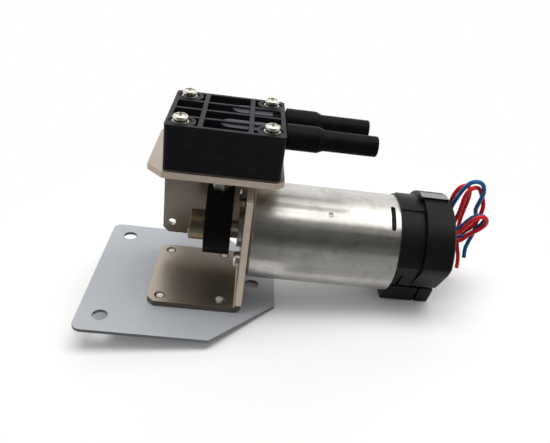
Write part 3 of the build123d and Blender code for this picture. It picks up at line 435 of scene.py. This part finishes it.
def weigh_normals(mesh, smooth):
    """Weighs each corner's normal by face area, so flat faces stay flat beside rounded edges."""
    normals = [polygon.normal.copy() for polygon in mesh.polygons]
    areas = [polygon.area for polygon in mesh.polygons]
    around = [[] for _ in mesh.vertices]
    for polygon in mesh.polygons:
        for vertex in polygon.vertices:
            around[vertex].append(polygon.index)
    limit = cos(smooth)
    corners = []
    for polygon in mesh.polygons:
        own = normals[polygon.index]
        for vertex in polygon.vertices:
            total = Vector()
            for other in around[vertex]:
                if normals[other].dot(own) > limit:
                    total += normals[other] * areas[other]
            corners.append(total.normalized())
    mesh.normals_split_custom_set(corners)


def mesh_of(bm, name, smooth):
    """The finished mesh, shaded smooth except across edges sharper than this angle."""
    mesh = bpy.data.meshes.new(name)
    bm.to_mesh(mesh)
    bm.free()
    mesh.shade_smooth()
    mesh.set_sharp_from_angle(angle=smooth)
    weigh_normals(mesh, smooth)
    return mesh


def softened(
    node,
    width,
    paint=None,
    second=(),
    keep=None,
    partner=None,
    seam=None,
    cut_level=None,
    smooth=32,
):
    """A CAD node with its edges rounded, in place of the node itself.

    Paint gives each face the number of its material: 0 is the node's own, and the others
    follow in second. Keep picks the edges to round. A partner is a second node of the same
    sheet: the two are welded, and the faces between them, picked by seam, go. A cut at one
    level lets the paint end there. Smooth is the angle, in degrees, that shading smooths."""
    bm = clean_copy(node)
    if partner:
        join(bm, partner, seam)
    if cut_level is not None:
        whole = [*bm.verts, *bm.edges, *bm.faces]
        bmesh.ops.bisect_plane(bm, geom=whole, plane_co=mm(0, 0, cut_level), plane_no=(0, 0, 1))
    if paint:
        for face in bm.faces:
            face.material_index = int(paint(face))
    round_edges(bm, width, keep)
    mesh = mesh_of(bm, node + "_shape", radians(smooth))
    for material in (finishes[slots[node]], *second):
        mesh.materials.append(material)
    add_piece(node + "_piece", mesh, [node] + ([partner] if partner else []))


# ---- leads --------------------------------------------------------------------------------
AXIS_Z = 31.6
LEAD_RADIUS = 0.9

# The leads' middle lines, with heights above the motor's axis: out of the grommet, round a
# small loop, over a tall one (the red lead over two) and down.
lead_routes = {
    "lead_red": [
        (79.0, -1.1, 6.0), (89.5, -1.1, 6.0), (94.0, -1.5, 9.5), (95.5, -2.2, 14.0),
        (98.0, -3.1, 18.4), (102.3, -2.4, 19.0), (104.7, -0.9, 14.8), (103.1, 0.9, 10.5),
        (100.1, 2.6, 6.7), (97.9, 3.3, 2.5), (94.5, 4.0, 1.5), (92.5, 5.0, 5.0), (92.5, 4.5, 10.0),
        (92.5, 2.5, 16.0), (92.0, 1.0, 21.5), (91.5, 0.0, 27.0), (93.0, -0.9, 31.0),
        (96.4, 0.2, 30.9), (99.0, 1.8, 27.4), (101.5, 1.7, 23.0), (102.1, 2.1, 18.1),
        (102.0, 3.6, 12.4), (101.1, 6.6, 7.0), (98.4, 8.5, 2.8), (94.6, 9.6, 3.0),
        (91.8, 10.0, 6.6), (90.8, 9.6, 12.4), (90.0, 8.8, 18.0), (89.9, 7.6, 23.2),
        (91.2, 6.6, 27.6), (94.6, 6.9, 28.6), (97.0, 8.2, 24.8), (97.8, 9.6, 19.2),
        (97.9, 10.8, 13.4), (97.9, 11.0, 7.6), (98.5, 10.7, 1.8), (99.6, 9.0, -3.6),
        (101.2, 7.0, -8.6), (101.6, 6.2, -13.8),
    ],
    "lead_blue": [
        (79.0, 1.1, 6.0), (89.5, 1.1, 6.0), (94.5, 1.0, 10.5), (97.0, -0.1, 16.3),
        (100.2, -0.7, 18.6), (104.1, 0.7, 17.0), (104.8, 3.2, 13.0), (102.6, 3.7, 8.2),
        (99.6, 5.1, 3.9), (95.5, 6.5, 2.5), (92.0, 7.5, 6.0), (90.5, 7.0, 11.5), (89.5, 5.5, 17.0),
        (89.5, 3.0, 23.0), (90.5, 1.5, 29.0), (92.5, 0.0, 33.5), (96.5, -1.1, 34.0),
        (98.6, -1.2, 30.1), (98.5, -0.1, 24.5), (99.2, 3.1, 18.8), (102.8, 6.1, 13.5),
        (104.0, 6.2, 7.8), (102.5, 5.2, 2.6), (100.9, 3.7, -1.8), (101.5, 2.4, -5.5),
    ],
}


def lead(node):
    """A lead as one smooth curve, its free end cut square."""
    data = bpy.data.curves.new(node + "_line", "CURVE")
    data.dimensions = "3D"
    data.bevel_depth = LEAD_RADIUS * MM
    data.bevel_resolution = 6
    data.resolution_u = 6
    data.use_fill_caps = True
    spline = data.splines.new("NURBS")
    route = lead_routes[node]
    spline.points.add(len(route) - 1)
    for point, (x, y, z) in zip(spline.points, route):
        point.co = (*mm(x, y, AXIS_Z + z), 1.0)
    spline.order_u = 3
    spline.use_endpoint_u = True
    data.materials.append(finishes[slots[node]])
    piece = bpy.data.objects.new(node + "_flex", data)
    bpy.context.scene.collection.objects.link(piece)
    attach(piece, "frame")
    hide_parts(node)


lead("lead_red")
lead("lead_blue")


# ---- softened CAD nodes -------------------------------------------------------------------
# Where the paints and the roundings look for their faces and edges, from the CAD's sizes, and
# how far off these may be.
SHEET = 2.7
FOOT_TOP = 4.2
FOOT_REACH = 35.5
FOOT_HALF_WIDTH = 21.0
FOOT_FRONT = -18.0
FOOT_END = -0.5
FOLD_TOP = 5.4
FOLD_Y = 17.7
WALL_LOW, WALL_HIGH = 6.0, 56.0
WALL_ARM = 12.0
WALL_TOP = 54.0
DECK_UNDERSIDE = 62.1
DECK_BACK = 17.0
PARTING_LOW = 73.5
PARTING_HIGH = 73.9
RIDGE_LEVEL = 81.5
RIB_LEVEL = 56.0
LATCH_GROOVE_X = 67.8
LATCH_GROOVE_REACH = 1.5
LATCH_GROOVE_LEVEL = 26.0
SLACK = 0.1
EXACT = 0.02

# A face runs along an axis where its normal has less than ALONG in that direction, and it
# faces up where its normal has more than UPWARD along Z. The slopes of a countersink or a
# rounding lie in between, within SLOPING.
ALONG = 0.3
UPWARD = 0.9
FRONTWARD = -0.5
SLOPING = (0.05, 0.95)


def middle(face):
    """The face's middle in millimetres."""
    return face.calc_center_median() / MM


def sheet_edge(face):
    """Paints the cut edges of the top plate and the motor plate, which are lighter than the plated
    faces, and the foot's front edge and screw-hole mouths with darker nickel, which is painted
    shade standing for the shadow and dark reflections there."""
    x, y, z = middle(face)
    normal = face.normal
    if z < FOOT_TOP + SLACK and x < FOOT_END and normal.y < FRONTWARD and y < FOOT_FRONT:
        return PAINTED_SHADE
    in_foot = z < FOOT_TOP - EXACT / 2 and abs(x) < FOOT_REACH and abs(y) < FOOT_HALF_WIDTH
    if in_foot and SLOPING[0] < normal.z < SLOPING[1]:
        return PAINTED_SHADE
    if z > DECK_UNDERSIDE - SLACK and abs(normal.z) < ALONG and y < DECK_BACK:
        return SHEARED
    in_wall = -SLACK < x < SHEET + SLACK and WALL_LOW < z < WALL_HIGH
    if in_wall and abs(normal.x) < ALONG and (abs(y) > WALL_ARM or z > WALL_TOP):
        return SHEARED
    return PLATED


def plate_side(face):
    """The base plate's front side, which is given darker zinc as painted shade."""
    return face.normal.y < -ALONG and abs(face.normal.z) < ALONG


def fold_seam(face):
    """The two faces where the bracket's halves meet."""
    x, y, _ = middle(face)
    return abs(y - FOLD_Y) < 0.01 and abs(face.normal.y) > 0.99 and 0 < x < SHEET


def off_level(level):
    """Picks the edges that aren't in the plane at this height."""

    def keep(edge):
        return any(abs(vertex.co.z / MM - level) > EXACT for vertex in edge.verts)

    return keep


def rib_top(face):
    """The rear cover's rib seen from above, whose top faces get paler plastic as a painted
    highlight from the light above.
    """
    return middle(face).z > RIB_LEVEL and face.normal.z > UPWARD


def ridge_top(face):
    """The flat tops of the two port channels, given paler plastic than the moulding's other faces
    as a painted highlight from the light above.
    """
    return abs(middle(face).z - RIDGE_LEVEL) < SLACK / 2 and face.normal.z > UPWARD


def off_groove(edge):
    """Leaves the edges round the housing's narrow latch groove sharp."""
    x, _, z = (edge.verts[0].co + edge.verts[1].co) / 2 / MM
    return abs(x - LATCH_GROOVE_X) > LATCH_GROOVE_REACH or z > LATCH_GROOVE_LEVEL


softened("base_plate", 0.12, paint=plate_side, second=(zinc_painted_shade,))
softened(
    "bracket",
    0.15,
    paint=sheet_edge,
    second=(sheared, nickel_painted_shade),
    partner="bracket_top",
    seam=fold_seam,
    cut_level=FOLD_TOP,
)
softened("motor_can", 0.1, smooth=20)
softened("motor_screws", 0.12)
softened("brush_housing", 0.15, keep=off_groove, smooth=20)
softened("rear_cover", 0.18, paint=rib_top, second=(rib_painted_highlight,), smooth=20)
softened("diaphragm_housing", 0.2, keep=off_level(PARTING_LOW))
softened("head_cover", 0.16, paint=ridge_top, second=(ridge_painted_highlight,), keep=off_level(PARTING_HIGH))
for node in ("head_screws", "flat_washers", "spring_washers"):
    softened(node, 0.08)
for node in ("hose_front", "hose_rear"):
    softened(node, 0.15)
softened("eccentric_hub", 0.12)
softened("connecting_rod", 0.2)
softened("rod_stud", 0.12)
softened("lead_grommet", 0.12)

# ---- floor, light and background ----------------------------------------------------------
# The pump leans over to the right, on the base plate's right edge and the rear cover's foot.
# So the floor slopes in the row frame: it meets the plate's underside at FLOOR_X and lies
# further below it to the left.
FLOOR_SLOPE = 0.1285
FLOOR_X = 17.45
FLOOR_GAP = 0.05
FLOOR_CORNERS = ((-420, -420), (420, -420), (420, 620), (-420, 620))

# The floor is lit by the lamps up to the near distance from its middle and glows white past the
# far one. Its glow near the object is faint.
FLOOR_MIDDLE = (20, 0, 0)
FLOOR_NEAR = 75
FLOOR_FAR = 180
FLOOR_GREY = 0.86
FLOOR_GLOW = 0.03

CARD_LIFT = 1.0
LIT_PLACE = (20, 0, 30)
SKY_LIGHT = 0.37
SKY_SEEN = 1.0


def stage_object(name, mesh, material):
    """A thing of the studio, which isn't part of the pump."""
    thing = bpy.data.objects.new(name, mesh)
    bpy.context.scene.collection.objects.link(thing)
    mesh.materials.append(material)
    return thing


def quad(name, corners):
    """A four-cornered face."""
    mesh = bpy.data.meshes.new(name)
    mesh.from_pydata([tuple(mm(*corner)) for corner in corners], [], [(0, 1, 2, 3)])
    return mesh


def floor_point(x, y, lift=0.0):
    """The point of the sloping floor at x and y, or one this far above it."""
    return x, y, FLOOR_SLOPE * (x - FLOOR_X) - FLOOR_GAP + lift


def background_rays(tree):
    """1 for the rays that see the background: camera, glossy and transmission rays."""
    path = tree.nodes.new("ShaderNodeLightPath")
    total = path.outputs["Is Camera Ray"]
    for ray in ("Is Glossy Ray", "Is Transmission Ray"):
        both = tree.nodes.new("ShaderNodeMath")
        both.operation = "MAXIMUM"
        tree.links.new(total, both.inputs[0])
        tree.links.new(path.outputs[ray], both.inputs[1])
        total = both.outputs[0]
    return total


def floor_material():
    """White floor that keeps the object's shadow and melts into the white background."""
    material = bpy.data.materials.new("floor")
    material.use_nodes = True
    tree = material.node_tree
    tree.nodes.clear()
    out = tree.nodes.new("ShaderNodeOutputMaterial")
    diffuse = tree.nodes.new("ShaderNodeBsdfDiffuse")
    diffuse.inputs["Color"].default_value = (FLOOR_GREY, FLOOR_GREY, FLOOR_GREY, 1)
    glow = tree.nodes.new("ShaderNodeEmission")
    glow.inputs["Color"].default_value = (1, 1, 1, 1)
    tree.links.new(background_rays(tree), glow.inputs["Strength"])
    where = tree.nodes.new("ShaderNodeNewGeometry")
    distance = tree.nodes.new("ShaderNodeVectorMath")
    distance.operation = "DISTANCE"
    tree.links.new(where.outputs["Position"], distance.inputs[0])
    distance.inputs[1].default_value = mm(*FLOOR_MIDDLE)
    far = tree.nodes.new("ShaderNodeMapRange")
    far.interpolation_type = "SMOOTHSTEP"
    tree.links.new(distance.outputs["Value"], far.inputs["Value"])
    far.inputs["From Min"].default_value = FLOOR_NEAR * MM
    far.inputs["From Max"].default_value = FLOOR_FAR * MM
    far.inputs["To Min"].default_value = FLOOR_GLOW
    mix = tree.nodes.new("ShaderNodeMixShader")
    tree.links.new(far.outputs["Result"], mix.inputs[0])
    tree.links.new(diffuse.outputs[0], mix.inputs[1])
    tree.links.new(glow.outputs[0], mix.inputs[2])
    tree.links.new(mix.outputs[0], out.inputs["Surface"])
    return material


def card(name, corners, level):
    """A studio card of this grey that only reflections see."""
    material = bpy.data.materials.new(name)
    material.use_nodes = True
    tree = material.node_tree
    tree.nodes.clear()
    out = tree.nodes.new("ShaderNodeOutputMaterial")
    glow = tree.nodes.new("ShaderNodeEmission")
    glow.inputs["Color"].default_value = (level, level, level, 1)
    tree.links.new(glow.outputs[0], out.inputs["Surface"])
    thing = stage_object(name, quad(name, corners), material)
    thing.visible_camera = False
    thing.visible_diffuse = False
    thing.visible_shadow = False
    thing.visible_transmission = False


def lamp(name, place, target, size_x, size_y, power, colour=(1, 1, 1)):
    """A rectangular lamp of so many watts that faces the target."""
    data = bpy.data.lights.new(name, "AREA")
    data.shape = "RECTANGLE"
    data.size, data.size_y = size_x * MM, size_y * MM
    data.energy = power
    data.color = colour
    thing = bpy.data.objects.new(name, data)
    bpy.context.scene.collection.objects.link(thing)
    thing.location = mm(*place)
    thing.rotation_mode = "QUATERNION"
    thing.rotation_quaternion = (mm(*target) - mm(*place)).to_track_quat("-Z", "Y")
    return thing


floor = quad("floor", [floor_point(x, y) for x, y in FLOOR_CORNERS])
stage_object("floor", floor, floor_material())

# Painted reflections: these cards are seen only in reflections and darken what the metal and
# glossy faces mirror. A dark card leans over from the front, two lie on the floor before the pump
# and stand for the darker floor, the right one paler, and a grey one stands behind the bracket to
# darken the foot's reflection.
front = [(-900, -700, -80), (900, -700, -80), (900, -340, 760), (-900, -340, 760)]
card("front_card", front, 0.05)
near_cards = (("left", -300, 22, -45, 0.14), ("right", 22, 300, -26, 0.36))
for side, left, right, end, level in near_cards:
    corners = ((left, -415), (right, -415), (right, end), (left, end))
    card("near_card_" + side, [floor_point(x, y, CARD_LIFT) for x, y in corners], level)
card("behind_card", [(-37, 62, 3), (10, 62, 3), (10, 62, 58), (-37, 62, 58)], 0.25)

# Reflections see the top light alone; the fills only brighten.
lamp("top_light", (20, -40, 620), LIT_PLACE, 700, 420, 1.5, (1.0, 0.98, 0.93))
lamp("top_fill", (20, 0, 620), LIT_PLACE, 700, 300, 2.0).visible_glossy = False
lamp("back_fill", (20, 520, 430), LIT_PLACE, 1200, 400, 1.6).visible_glossy = False
lamp("left_fill", (-520, -260, 360), (0, 0, 40), 300, 300, 0.5).visible_glossy = False

world = bpy.data.worlds.new("world")
bpy.context.scene.world = world
world.use_nodes = True
tree = world.node_tree
background = tree.nodes["Background"]
background.inputs["Color"].default_value = (1, 1, 1, 1)
strength = tree.nodes.new("ShaderNodeMapRange")
tree.links.new(background_rays(tree), strength.inputs["Value"])
strength.inputs["To Min"].default_value = SKY_LIGHT
strength.inputs["To Max"].default_value = SKY_SEEN
tree.links.new(strength.outputs["Result"], background.inputs["Strength"])

bpy.context.scene.view_settings.view_transform = "Standard"
